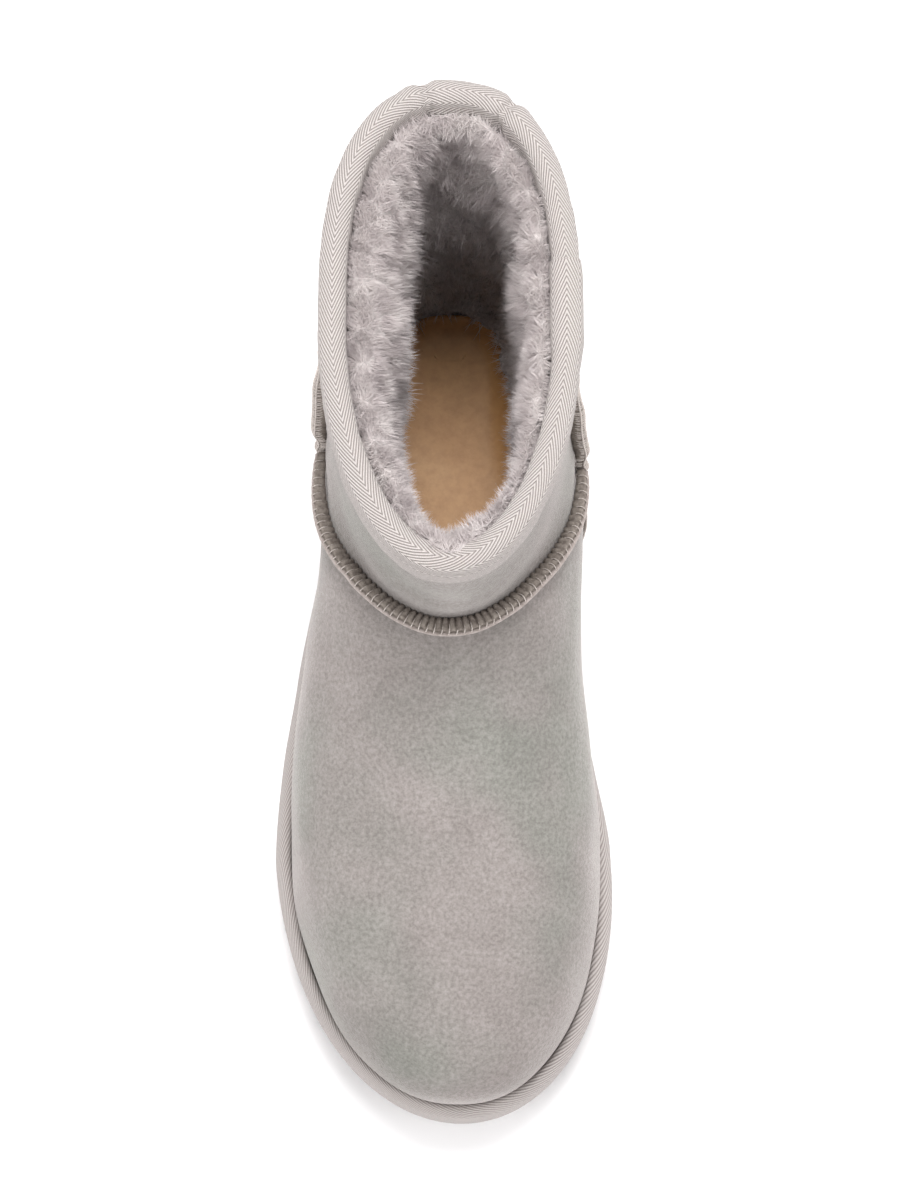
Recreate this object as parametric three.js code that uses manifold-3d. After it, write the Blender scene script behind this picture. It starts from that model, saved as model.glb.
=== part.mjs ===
// A short sheepskin boot for the right foot, in millimetres, +Z up.
// The toe points along -Y, the heel along +Y, and +X is the inner (big toe) side.
// The upper is one hollow sheepskin shell, lofted through rings that are fanned out between
// the front profile (toe, instep, front of the shaft) and the back profile (heel, back of the shaft).
import * as THREE from 'three';
import Module from 'manifold-3d';

// ---- driving dimensions ----
const TOE_Y = -134;           // front end of the sole
const HEEL_Y = 134;           // back end of the sole
const TOE_SHIFT = 3.6;        // the toe's tip lies this far to the inner side
const ORIGIN = [1.8, -3.6, 0]; // puts the frame under the middle of the bounding box

const FORE_THICK = 17;        // sole thickness under the ball, insole left out
const HEEL_RISE = 6;          // the heel is this much thicker
const TOE_SPRING = 9;         // lift of the sole's bottom at the toe's tip
const SPRING_FROM = -72;      // where the lift starts
const TREAD_DEPTH = 3.2;      // depth of the tread grooves
const ARCH_RELIEF = 4.5;      // lift of the sole's bottom under the arch

const WALL = 11;              // suede 2 mm and fleece 9 mm
const RIM_WALL = 5;           // the wall where the collar tape presses it flat
const GAP = 0.3;              // clearance between pieces that touch

const TAPE = 1.1;             // thickness of the collar tape
const TAPE_DROP = 9;          // how far it comes down, outside and inside alike
const BAND_WALL = 1.3;        // thickness of the band round the sole
const BAND_DROP = 11;         // how far the band comes down the sole's side
const BAND_LIP = 3.4;         // how far it stands up beside the suede
const SEAM_WIDE = 3.4;        // overlocked ridge, along the leather
const SEAM_HIGH = 4.0;        // and away from it
const SEAM_GAP = 0.55;
const INSOLE_THICK = 4;
const INSOLE_CUP = 4;         // extra height of the insole's edge at the heel

const AROUND = 56;            // facets round the boot

// ---- the sole's outline: a row for each width section ----
const OUTLINE = [
  { name: 'ball', y: -55, half: 50.7, shift: -1.9 },
  { name: 'joint', y: -26, half: 47.4, shift: -3.3 },
  { name: 'arch', y: 0, half: 42.6, shift: -4.0 },
  { name: 'breast', y: 45, half: 38.0, shift: -0.9 },
  { name: 'heel', y: 92, half: 36.4, shift: 0 },
];

// ---- the upper: a row for each ring, sole to collar ----
// fy fz: its front point; by bz: its back point; y1 w1, y2 w2, y3 w3: half widths at three stations;
// shift: share of the outline's sideways shift; swing: lean of the waist to the inner side;
// pf pb: fullness of its front and back ends; bow: share of the sole's own curve.
const RING_COLUMNS = ['fy', 'fz', 'by', 'bz', 'y1', 'w1', 'y2', 'w2', 'y3', 'w3',
  'shift', 'swing', 'pf', 'pb', 'bow'];
const RINGS = [
  ['feather', -128.7, 24.6, 128.7, 23.3, -55, 45.4, 5, 37.2, 92, 31.1, 1.0, 0.4, 2.05, 2.3, 1.0],
  ['wall', -131.4, 33, 132.0, 33, -53, 46.2, 5, 39.9, 92, 35.0, 0.75, 2.2, 2.1, 2.3, 0.8],
  ['toe wall', -130.4, 43, 134.0, 44, -47, 45.7, 8, 40.2, 92, 36.6, 0.7, 2.6, 2.1, 2.3, 0.5],
  ['toe cap', -123.5, 53, 134.0, 56, -35, 43.6, 15, 39.6, 90, 37.0, 0.6, 2.4, 2.1, 2.3, 0.2],
  ['toe top', -108.5, 61.5, 132.6, 67, -12, 40.6, 30, 38.4, 88, 36.6, 0.5, 2.0, 2.1, 2.3, 0],
  ['vamp', -86, 69, 130.8, 77, 12, 38.6, 50, 37.5, 86, 36.0, 0.4, 1.4, 2.05, 2.3, 0],
  ['instep', -59, 78, 129.6, 86, 36, 37.4, 60, 36.7, 84, 35.6, 0.3, 0.9, 2.0, 2.3, 0],
  ['bend', -32, 89, 129.8, 95, 50, 36.7, 66, 36.0, 82, 35.3, 0.2, 0.5, 2.0, 2.3, 0],
  ['seam', -8.5, 102, 130.8, 104, 60, 35.8, 70, 35.6, 80, 35.0, 0.1, 0.2, 2.0, 2.3, 0],
  ['shaft 1', -5.5, 116, 132.4, 117, 64, 35.1, 70, 35.0, 78, 34.8, 0, 0, 2.0, 2.3, 0],
  ['shaft 2', -4.5, 131, 135.3, 131, 66, 34.9, 71, 34.9, 78, 34.8, 0, 0, 2.0, 2.3, 0],
  ['collar', -3.5, 149, 139.8, 149, 68, 35.0, 72, 35.0, 78, 35.0, 0, 0, 2.0, 2.3, 0],
];
const COLLAR = RINGS.length - 1;
const LEVELS = [0, 0.5, 1, 1.5, 2, 2.4, 2.8, 3.2, 3.6, 4, 4.7, 5.5, 6.3, 7, 7.5, 7.85,
  8.2, 8.55, 9, 9.6, 10, 10.25, 10.5, 10.75, COLLAR];

// where the raised seams run: the vamp seam's level falls away to both sides,
// and the side seams keep to a Y that eases forward on the way down
const VAMP_SEAM = { front: 8.3, drop: 2.2, end: 1.77, power: 2.0 };
const SIDE_SEAM = [
  { name: 'sole', level: 0, lateral: 47, medial: 42 },
  { name: 'junction', level: 6.1, lateral: 54, medial: 48 },
  { name: 'collar', level: COLLAR, lateral: 62, medial: 54 },
];

// ---- small maths ----
const clamp = (x, a, b) => Math.min(b, Math.max(a, x));
const smooth = (a, b, x) => {
  const t = clamp((x - a) / (b - a), 0, 1);
  return t * t * (3 - 2 * t);
};

// a smooth curve through a short table, level at both ends and never overshooting
function through(xs, ys, x) {
  const last = xs.length - 1;
  if (x <= xs[0]) return ys[0];
  if (x >= xs[last]) return ys[last];
  const slope = (i) => {
    if (i === 0 || i === last) return 0;
    const h0 = xs[i] - xs[i - 1];
    const h1 = xs[i + 1] - xs[i];
    const a = (ys[i] - ys[i - 1]) / h0;
    const b = (ys[i + 1] - ys[i]) / h1;
    if (a * b <= 0) return 0;
    const k0 = 2 * h1 + h0;
    const k1 = h1 + 2 * h0;
    return (k0 + k1) / (k0 / a + k1 / b);
  };
  let i = 0;
  while (xs[i + 1] < x) i += 1;
  const h = xs[i + 1] - xs[i];
  const t = (x - xs[i]) / h;
  const t2 = t * t;
  const t3 = t2 * t;
  return (2 * t3 - 3 * t2 + 1) * ys[i] + (t3 - 2 * t2 + t) * h * slope(i)
    + (3 * t2 - 2 * t3) * ys[i + 1] + (t3 - t2) * h * slope(i + 1);
}

// half width of a ring: three stations, with a rounded end at the front and at the back
function halfWidth(y, r) {
  if (y < r.y1) {
    const t = clamp((r.y1 - y) / (r.y1 - r.fy), 0, 1);
    return r.w1 * (1 - t ** r.pf) ** (1 / r.pf);
  }
  if (y > r.y3) {
    const t = clamp((y - r.y3) / (r.by - r.y3), 0, 1);
    return r.w3 * (1 - t ** r.pb) ** (1 / r.pb);
  }
  return through([r.y1, r.y2, r.y3], [r.w1, r.w2, r.w3], y);
}

// ---- the sole's own lines ----
const spring = (y) => TOE_SPRING * Math.max(0, (SPRING_FROM - y) / (SPRING_FROM - TOE_Y)) ** 2;
const soleTop = (y) => FORE_THICK + HEEL_RISE * smooth(-35, 55, y) + 0.85 * spring(y);

function outlineShift(y) {
  const ball = OUTLINE[0];
  if (y < ball.y) {
    return ball.shift + (TOE_SHIFT - ball.shift) * (ball.y - y) / (ball.y - TOE_Y);
  }
  return through(OUTLINE.map((r) => r.y), OUTLINE.map((r) => r.shift), y);
}

function outlineHalf(y) {
  const ball = OUTLINE[0];
  const heel = OUTLINE[OUTLINE.length - 1];
  if (y < ball.y) {
    const t = clamp((ball.y - y) / (ball.y - TOE_Y), 0, 1);
    return ball.half * Math.sqrt(1 - t ** 2.05);
  }
  if (y > heel.y) {
    const t = clamp((y - heel.y) / (HEEL_Y - heel.y), 0, 1);
    return heel.half * (1 - t ** 2.3) ** (1 / 2.3);
  }
  return through(OUTLINE.map((r) => r.y), OUTLINE.map((r) => r.half), y);
}

// turn 0 is the toe, half a turn the heel; the first half runs down the outer side
function outlinePoint(turn, inset) {
  const at = (a) => {
    const y = (TOE_Y + HEEL_Y) / 2 - (HEEL_Y - TOE_Y) / 2 * Math.cos(a);
    const side = Math.sin(a) > 0 ? -1 : 1;
    return new THREE.Vector2(outlineShift(y) + side * outlineHalf(y), y);
  };
  const p = at(turn);
  const along = at(turn + 1e-4).sub(at(turn - 1e-4)).normalize();
  return new THREE.Vector2(p.x + inset * along.y, p.y - inset * along.x);
}

// ---- the upper's surface ----
// a ring at any level, by a Catmull-Rom curve down each column of the table
function ringAt(level) {
  const v = clamp(level, 0, COLLAR);
  const i = Math.min(Math.floor(v), COLLAR - 1);
  const t = v - i;
  const ring = {};
  RING_COLUMNS.forEach((name, c) => {
    const row = (j) => RINGS[clamp(j, 0, COLLAR)][c + 1];
    const p1 = row(i);
    const p2 = row(i + 1);
    const p0 = i === 0 ? 2 * p1 - p2 : row(i - 1);
    const p3 = i === COLLAR - 1 ? 2 * p2 - p1 : row(i + 2);
    ring[name] = 0.5 * (2 * p1 + (p2 - p0) * t + (2 * p0 - 5 * p1 + 4 * p2 - p3) * t * t
      + (3 * p1 - p0 - 3 * p2 + p3) * t * t * t);
  });
  return ring;
}

function outer(level, turn) {
  const r = ringAt(level);
  const share = (1 - Math.cos(turn)) / 2;
  const y = r.fy + (r.by - r.fy) * share;
  const [, fy0, fz0, by0, bz0] = RINGS[0];
  const chord = fz0 + (bz0 - fz0) * (y - fy0) / (by0 - fy0);
  const z = r.fz + (r.bz - r.fz) * share + r.bow * (soleTop(clamp(y, -129, 129)) + GAP - chord);
  const side = Math.sin(turn) > 0 ? -1 : 1;
  const x = r.shift * outlineShift(y) + r.swing * (1 - smooth(0, 68, Math.abs(y - 40)))
    + side * halfWidth(y, r);
  return new THREE.Vector3(x, y, z);
}

// outward normal, laid level at the sole and at the collar so that both edges stay flat
function normal(level, turn) {
  const e = 1e-3;
  const lo = Math.max(0, level - e);
  const hi = Math.min(COLLAR, level + e);
  const up = outer(hi, turn).sub(outer(lo, turn));
  const round = outer(level, turn + e).sub(outer(level, turn - e));
  const n = up.cross(round).normalize();
  n.z *= smooth(0, 1.2, level) * (1 - smooth(9.4, 10.4, level));
  return n.normalize();
}

// thickness of the hide and its wool: full in the ankle, and pressed flat under the tape
const wallAt = (level) => {
  const wool = WALL + 2 * smooth(5.5, 8, level);
  return wool + (RIM_WALL - wool) * smooth(10, 10.5, level);
};

// a point off the upper's outer face: positive is outside it
function off(level, turn, distance) {
  return outer(level, turn).addScaledVector(normal(level, turn), distance);
}

// level of the shaft at a height, above the last ring but one
function levelAtHeight(z) {
  const [, , z0] = RINGS[COLLAR - 1];
  const [, , z1] = RINGS[COLLAR];
  return COLLAR - 1 + (z - z0) / (z1 - z0);
}

// turn that reaches a given Y on a ring
function turnAtY(level, y) {
  const r = ringAt(level);
  return Math.acos(clamp(1 - 2 * (y - r.fy) / (r.by - r.fy), -1, 1));
}

// ---- solids from loops of points ----
function solid(points, triangles) {
  let volume = 0;
  triangles.forEach(([a, b, c]) => {
    volume += points[a].dot(new THREE.Vector3().crossVectors(points[b], points[c]));
  });
  const index = triangles.flatMap(([a, b, c]) => (volume > 0 ? [a, b, c] : [a, c, b]));
  const geometry = new THREE.BufferGeometry();
  geometry.setAttribute('position', new THREE.Float32BufferAttribute(
    points.flatMap((p) => [p.x, p.y, p.z]), 3));
  geometry.setIndex(index);
  geometry.computeVertexNormals();
  return geometry;
}

// joins loop to loop with two triangles a facet; wrap joins the last loop to the first,
// and otherwise each end is closed by strips across, from one side of the loop to the other
function loft(loops, wrap) {
  const n = loops[0].length;
  const points = loops.flat();
  const triangles = [];
  const joins = wrap ? loops.length : loops.length - 1;
  for (let k = 0; k < joins; k += 1) {
    const a = k * n;
    const b = ((k + 1) % loops.length) * n;
    for (let i = 0; i < n; i += 1) {
      const j = (i + 1) % n;
      triangles.push([a + i, a + j, b + j], [a + i, b + j, b + i]);
    }
  }
  if (!wrap) {
    [[0, false], [(loops.length - 1) * n, true]].forEach(([base, far]) => {
      for (let i = 0; i < n / 2; i += 1) {
        const a = base + i;
        const b = base + i + 1;
        const c = base + (n - i - 1) % n;
        const d = base + (n - i) % n;
        const faces = [];
        if (b !== c) faces.push([a, c, b]);
        if (a !== d) faces.push([a, d, c]);
        faces.forEach((f) => triangles.push(far ? [f[0], f[2], f[1]] : f));
      }
    });
  }
  return solid(points, triangles);
}

const turns = Array.from({ length: AROUND }, (_, i) => 2 * Math.PI * i / AROUND);

// ---- manifold-3d, for the tread only ----
const wasm = await Module();
wasm.setup();

function toManifold(geometry) {
  const flat = geometry.index ? geometry : null;
  const position = geometry.getAttribute('position');
  const found = new Map();
  const points = [];
  const remap = [];
  for (let i = 0; i < position.count; i += 1) {
    const p = [position.getX(i), position.getY(i), position.getZ(i)].map((v) => Math.fround(v));
    const key = p.map((v) => v.toFixed(4)).join(',');
    if (!found.has(key)) {
      found.set(key, points.length / 3);
      points.push(...p);
    }
    remap.push(found.get(key));
  }
  const order = flat ? Array.from(geometry.index.array) : remap.map((_, i) => i);
  return new wasm.Manifold(new wasm.Mesh({
    numProp: 3,
    vertProperties: new Float32Array(points),
    triVerts: new Uint32Array(order.map((i) => remap[i])),
  }));
}

function fromManifold(body) {
  const mesh = body.getMesh();
  const geometry = new THREE.BufferGeometry();
  geometry.setAttribute('position', new THREE.BufferAttribute(mesh.vertProperties, 3));
  geometry.setIndex(new THREE.BufferAttribute(mesh.triVerts, 1));
  geometry.computeVertexNormals();
  return geometry;
}

// ---- outsole: moulded foam rubber, its top edge stepped in to take the band ----
function outsole() {
  const step = BAND_WALL + GAP;
  const loop = (inset, height) => turns.map((a) => {
    const p = outlinePoint(a, inset);
    return new THREE.Vector3(p.x, p.y, height(p.y));
  });
  const under = (y) => soleTop(y) - BAND_DROP - GAP;
  const body = loft([
    loop(3.4, spring),
    loop(1.2, (y) => spring(y) + 0.7),
    loop(0.4, (y) => spring(y) + 2.4),
    loop(0.4, (y) => under(y)),
    loop(step, (y) => under(y)),
    loop(step, soleTop),
  ], false);
  let sole = toManifold(body);

  // one zigzag groove right across, cut up from below
  const groove = (y, width, pitch, depth) => {
    const shape = new THREE.Shape();
    const zig = [];
    for (let i = -5; i <= 5; i += 1) zig.push([i * pitch / 2, i % 2 ? 2.6 : -2.6]);
    zig.forEach(([x, dy], i) => {
      if (i) shape.lineTo(x, y + dy);
      else shape.moveTo(x, y + dy);
    });
    zig.reverse().forEach(([x, dy]) => shape.lineTo(x, y + dy + width));
    shape.closePath();
    const cut = new THREE.ExtrudeGeometry(shape, { depth: 12, bevelEnabled: false });
    cut.translate(0, 0, spring(y + width / 2) + depth - 12);
    return toManifold(cut);
  };
  for (let y = -118; y < -10; y += 15) {
    sole = sole.subtract(groove(y, 4.4, 23, TREAD_DEPTH));
  }
  for (let y = 66; y < 120; y += 14) {
    sole = sole.subtract(groove(y, 4.2, 23, TREAD_DEPTH));
  }
  // the arch is lifted off the ground, with sloped ends
  const relief = new THREE.Shape();
  relief.moveTo(-2, -1);
  relief.lineTo(8, ARCH_RELIEF);
  relief.lineTo(42, ARCH_RELIEF);
  relief.lineTo(52, -1);
  relief.closePath();
  const tunnel = new THREE.ExtrudeGeometry(relief, { depth: 140, bevelEnabled: false });
  tunnel.rotateX(Math.PI / 2);
  tunnel.rotateZ(Math.PI / 2);
  tunnel.translate(-70, 0, 0);
  sole = sole.subtract(toManifold(tunnel));
  return fromManifold(sole);
}

// ---- band round the sole: twill tape over the sole's shoulder, against the suede ----
function soleBinding() {
  const edge = (inset, lift) => turns.map((a) => {
    const p = outlinePoint(a, inset);
    return new THREE.Vector3(p.x, p.y, soleTop(p.y) + lift);
  });
  const besideSuede = (lift) => turns.map((a) => {
    const level = Math.max(0, lift - GAP) / 9;
    const p = off(level, a, GAP + 0.1);
    p.z = soleTop(p.y) + lift;
    return p;
  });
  const mix = (a, b, t, dz) => a.map((p, i) => {
    const q = p.clone().lerp(b[i], t);
    q.z += dz;
    return q;
  });
  const inner = besideSuede(BAND_LIP);
  const outside = edge(0, 0);
  return loft([
    besideSuede(GAP),
    inner,
    mix(inner, outside, 0.35, 1.15),
    mix(inner, outside, 0.72, 1.35),
    edge(0.25, 1.4),
    outside,
    edge(0, -BAND_DROP),
    edge(BAND_WALL, -BAND_DROP),
    edge(BAND_WALL, GAP),
  ], true);
}

// ---- insole: lies on the sole inside the fleece, with its edge turned up round the heel ----
function insole() {
  const inset = 5.3 + WALL + 0.5;
  const cup = (y) => INSOLE_CUP * smooth(40, 100, y);
  const loop = (more, lift) => turns.map((a) => {
    const p = outlinePoint(a, inset + more);
    return new THREE.Vector3(p.x, p.y, soleTop(p.y) + GAP + lift(p.y));
  });
  return loft([
    loop(0.6, () => 0),
    loop(0, () => 1),
    loop(0, (y) => INSOLE_THICK - 0.8 + cup(y)),
    loop(1.2, (y) => INSOLE_THICK + cup(y)),
    loop(4, (y) => INSOLE_THICK + 0.35 * cup(y)),
    loop(8, () => INSOLE_THICK),
  ], false);
}

// ---- upper: sheepskin, suede out and fleece in, open at the collar and underneath ----
function upper() {
  const outside = LEVELS.map((v) => turns.map((a) => outer(v, a)));
  const inside = LEVELS.map((v) => turns.map((a) => {
    const p = off(v, a, -wallAt(v));
    if (v === 0) p.z = soleTop(p.y) + GAP;
    if (v === COLLAR) p.z = RINGS[COLLAR][2];
    return p;
  }));
  return loft([...outside, ...inside.reverse()], true);
}

// ---- collar tape: folded over the rim, a leg outside and a leg inside ----
function collarBinding() {
  const rim = RINGS[COLLAR][2];
  const low = levelAtHeight(rim - TAPE_DROP);
  const mid = levelAtHeight(rim - TAPE_DROP / 2);
  const at = (level, distance, z) => turns.map((a) => {
    const p = off(level, a, distance);
    if (z !== undefined) p.z = z;
    return p;
  });
  const far = (level) => -wallAt(level) - GAP;
  return loft([
    at(low, GAP),
    at(mid, GAP),
    at(COLLAR, GAP, rim + GAP),
    at(COLLAR, far(COLLAR), rim + GAP),
    at(mid, far(mid)),
    at(low, far(low)),
    at(low, far(low) - TAPE),
    at(mid, far(mid) - TAPE),
    at(COLLAR, far(COLLAR) - TAPE, rim - 0.6),
    at(COLLAR, far(COLLAR) - TAPE * 0.3, rim + GAP + TAPE * 0.75),
    at(COLLAR, -RIM_WALL / 2, rim + GAP + TAPE),
    at(COLLAR, GAP + TAPE * 0.3, rim + GAP + TAPE * 0.75),
    at(COLLAR, GAP + TAPE, rim - 0.6),
    at(mid, GAP + TAPE),
    at(low, GAP + TAPE),
  ], true);
}

// ---- raised seams: a rounded ridge that follows a path on the upper ----
// path gives [level, turn] for 0..1, and tall the share of the full height at a level
function ridge(path, steps, tall = () => 1) {
  const section = [
    [-0.5, 0], [-0.5, 0.55], [-0.36, 0.88], [0, 1], [0.36, 0.88], [0.5, 0.55], [0.5, 0], [0, 0],
  ];
  const loops = [];
  for (let k = 0; k <= steps; k += 1) {
    const t = k / steps;
    const [level, turn] = path(t);
    const foot = outer(level, turn);
    const before = outer(...path(Math.max(0, t - 0.01)));
    const along = outer(...path(Math.min(1, t + 0.01))).sub(before).normalize();
    const out = normal(level, turn);
    const across = new THREE.Vector3().crossVectors(along, out).normalize();
    const away = new THREE.Vector3().crossVectors(across, along).normalize();
    loops.push(section.map(([w, h]) => foot.clone()
      .addScaledVector(across, w * SEAM_WIDE)
      .addScaledVector(away, SEAM_GAP + h * SEAM_HIGH * tall(level))));
  }
  return sweep(loops);
}

// a loft whose two ends are closed by fans from the section's last point
function sweep(loops) {
  const n = loops[0].length;
  const triangles = [];
  for (let k = 0; k < loops.length - 1; k += 1) {
    for (let i = 0; i < n; i += 1) {
      const j = (i + 1) % n;
      triangles.push([k * n + i, k * n + j, (k + 1) * n + j]);
      triangles.push([k * n + i, (k + 1) * n + j, (k + 1) * n + i]);
    }
  }
  const end = (loops.length - 1) * n;
  for (let i = 0; i < n - 2; i += 1) {
    triangles.push([n - 1, i + 1, i]);
    triangles.push([end + n - 1, end + i, end + i + 1]);
  }
  return solid(loops.flat(), triangles);
}

function vampSeam() {
  const level = (a) => VAMP_SEAM.front
    - VAMP_SEAM.drop * (Math.abs(a) / VAMP_SEAM.end) ** VAMP_SEAM.power;
  const clear = (y) => {
    let a = VAMP_SEAM.end;
    for (let i = 0; i < 6; i += 1) a = turnAtY(level(a), y - SEAM_WIDE / 2 - 1.6);
    return a;
  };
  const from = clear(SIDE_SEAM[1].lateral);
  const to = -clear(SIDE_SEAM[1].medial);
  return ridge((t) => {
    const a = from + (to - from) * t;
    return [level(a), a];
  }, 36);
}

function sideSeam(side) {
  const levels = SIDE_SEAM.map((r) => r.level);
  const ys = SIDE_SEAM.map((r) => (side > 0 ? r.lateral : r.medial));
  const first = 0.62;
  const last = levelAtHeight(RINGS[COLLAR][2] - TAPE_DROP - 0.5);
  return ridge((t) => {
    const level = first + (last - first) * t;
    const y = through(levels, ys, level);
    return [level, side * turnAtY(level, y)];
  }, 20, (level) => (0.4 + 0.6 * smooth(5.4, 6.6, level)) * (1 - 0.5 * smooth(9.2, 10.4, level)));
}

// ---- the boot ----
const boot = new THREE.Group();
boot.position.set(...ORIGIN);

function add(name, geometry, color, roughness) {
  const material = new THREE.MeshStandardMaterial({ color, roughness, metalness: 0 });
  const mesh = new THREE.Mesh(geometry, material);
  mesh.name = name;
  boot.add(mesh);
}

add('outsole', outsole(), 0xa39c97, 0.7);
add('sole_binding', soleBinding(), 0xb9b2b0, 0.9);
add('insole', insole(), 0xa88463, 0.6);
add('upper', upper(), 0xaea8a5, 0.95);
add('vamp_seam', vampSeam(), 0x9c938b, 0.9);
add('side_seam_lateral', sideSeam(1), 0x9c938b, 0.9);
add('side_seam_medial', sideSeam(-1), 0x9c938b, 0.9);
add('collar_binding', collarBinding(), 0xd7cfcd, 0.9);

export default boot;
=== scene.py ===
import math

import bmesh
import bpy
import numpy as np
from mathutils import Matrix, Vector


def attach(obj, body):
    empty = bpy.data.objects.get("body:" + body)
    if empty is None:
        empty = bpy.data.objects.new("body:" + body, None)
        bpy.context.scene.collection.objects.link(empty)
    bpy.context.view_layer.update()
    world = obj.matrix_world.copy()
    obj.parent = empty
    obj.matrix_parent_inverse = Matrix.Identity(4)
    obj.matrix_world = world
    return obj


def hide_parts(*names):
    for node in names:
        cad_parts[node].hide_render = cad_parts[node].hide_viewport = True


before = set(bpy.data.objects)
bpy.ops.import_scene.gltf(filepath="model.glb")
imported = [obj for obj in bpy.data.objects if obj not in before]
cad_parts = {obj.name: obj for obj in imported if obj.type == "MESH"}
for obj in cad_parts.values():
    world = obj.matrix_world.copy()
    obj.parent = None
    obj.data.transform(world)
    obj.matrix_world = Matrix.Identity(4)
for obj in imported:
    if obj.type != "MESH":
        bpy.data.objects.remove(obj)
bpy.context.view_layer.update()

# ---------------------------------------------------------------------------
# The table and the light. A pale, level sweep under a boot that stands on its own sole, with
# a wide soft box overhead and weaker ones to the sides, as in a small daylight studio.
# ---------------------------------------------------------------------------


def srgb(code):
    """an sRGB hex value as a linear colour"""
    parts = [int(code[i:i + 2], 16) / 255 for i in (1, 3, 5)]
    return tuple(c / 12.92 if c <= 0.04045 else ((c + 0.055) / 1.055) ** 2.4 for c in parts) + (1.0,)


def add_node(tree, kind, settings=None, **links):
    """one node: settings are its own properties, or a ramp's stops as places and colours; links are
    its inputs, by name with _ for a space or by number as i0, and a node there gives its first output"""
    made = tree.nodes.new(kind)
    for name, value in (settings or {}).items():
        if name != "stops":
            setattr(made, name, value)
            continue
        elements = made.color_ramp.elements
        while len(elements) < len(value):
            elements.new(0.5)
        for element, (place, code) in zip(elements, value):
            element.position = place
            element.color = srgb(code)
    for name, value in links.items():
        key = int(name[1:]) if name[0] == "i" and name[1:].isdigit() else name.replace("_", " ")
        socket = made.inputs[key]
        if isinstance(value, bpy.types.Node):
            value = value.outputs[0]
        if isinstance(value, bpy.types.NodeSocket):
            tree.links.new(value, socket)
        else:
            socket.default_value = value
    return made


def in_scene(name, data):
    """a new object in the scene"""
    made = bpy.data.objects.new(name, data)
    bpy.context.collection.objects.link(made)
    return made


def new_material(name):
    """an empty material and its node tree"""
    material = bpy.data.materials.new(name)
    material.use_nodes = True
    material.node_tree.nodes.clear()
    return material, material.node_tree


def finish(tree, colour, height, strength, depth, **gloss):
    """the end of a material: its relief from a height, that many metres deep, and its surface"""
    bump = add_node(tree, "ShaderNodeBump", Strength=strength, Distance=depth, Height=height)
    shader = add_node(tree, "ShaderNodeBsdfPrincipled", Base_Color=colour, Normal=bump, **gloss)
    add_node(tree, "ShaderNodeOutputMaterial", Surface=shader)


ELEVATION, DISTANCE, LENS = math.radians(73.0), 1.0, 101.1
AIM = Vector((0.0018, 0.0109, 0.060))
SKY = 0.66

camera_data = bpy.data.cameras.new("camera")
camera_data.lens = LENS
camera_data.sensor_width = 36.0
camera_data.clip_start = 0.05
camera = in_scene("camera", camera_data)
camera.location = AIM + DISTANCE * Vector((0, -math.cos(ELEVATION), math.sin(ELEVATION)))
camera.rotation_euler = (math.pi / 2 - ELEVATION, 0, 0)
bpy.context.scene.camera = camera

bpy.context.scene.view_settings.view_transform = "Standard"
world = bpy.data.worlds.new("studio")
world.use_nodes = True
world.node_tree.nodes["Background"].inputs["Color"].default_value = (1, 1, 1, 1)
world.node_tree.nodes["Background"].inputs["Strength"].default_value = SKY
bpy.context.scene.world = world

for name, place, size, power in (
        ("overhead", (0.05, 0.46, 1.42), 0.6, 19.5),
        ("left", (-1.1, -0.7, 0.8), 0.9, 9.0),
        ("right", (1.2, -0.5, 0.7), 0.9, 8.0),
        ("front", (0.0, -1.4, 0.4), 0.9, 2.0)):
    light_data = bpy.data.lights.new(name, "AREA")
    light_data.size = size
    light_data.energy = power
    light = in_scene(name, light_data)
    light.location = place
    light.rotation_euler = (Vector((0, 0, 0.05)) - Vector(place)).to_track_quat("-Z", "Y").to_euler()

floor_mesh = bpy.data.meshes.new("floor")
floor_mesh.from_pydata([(-3, -3, 0), (3, -3, 0), (3, 3, 0), (-3, 3, 0)], [], [(0, 1, 2, 3)])
floor = in_scene("floor", floor_mesh)
paper, tree = new_material("white_paper_sweep")
coords = add_node(tree, "ShaderNodeTexCoord").outputs["Object"]
grain = add_node(tree, "ShaderNodeTexNoise", Vector=coords, Scale=900.0)
finish(tree, srgb("#fbfafb"), grain, 0.03, 0.0002, Roughness=0.9)
floor_mesh.materials.append(paper)

# ---------------------------------------------------------------------------
# The last. Sheepskin is pulled over a wooden or plastic last and takes its form: rings fanned out
# between the front profile and the back profile, from the sole's edge up to the collar.
# All the sewn pieces below are laid on this one form. Sizes are in millimetres until a mesh is made.
# ---------------------------------------------------------------------------

TOE_Y, HEEL_Y, TOE_SHIFT = -134.0, 134.0, 3.6
TOE_ROUND, HEEL_ROUND = 2.05, 2.3
TOE_SPRING, SPRING_FROM, SPRING_RUN, SPRING_ABOVE = 9.0, -72, 62, 0.85
SOLE_HIGH, HEEL_RISE, RISE_FROM, RISE_TO = 17, 6, -35, 55
WAIST_Y, WAIST_RUN, UPPER_REACH = 40, 68, 129
FRAME_SHIFT = np.array([1.8, -3.6, 0.0])
GAP = 0.3
OUTLINE = np.array([
    # y, half the width, and how far the middle lies to the inner side, from the ball to the heel
    (-55, 50.7, -1.9),
    (-26, 47.4, -3.3),
    (0, 42.6, -4.0),
    (45, 38.0, -0.9),
    (92, 36.4, 0.0),
])
BALL_Y, BALL_HALF, BALL_SHIFT = OUTLINE[0]
SEAT_Y, SEAT_HALF = OUTLINE[-1, :2]
RING_COLUMNS = ("fy", "fz", "by", "bz", "y1", "w1", "y2", "w2", "y3", "w3",
                "shift", "swing", "pf", "pb", "bow")
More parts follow.
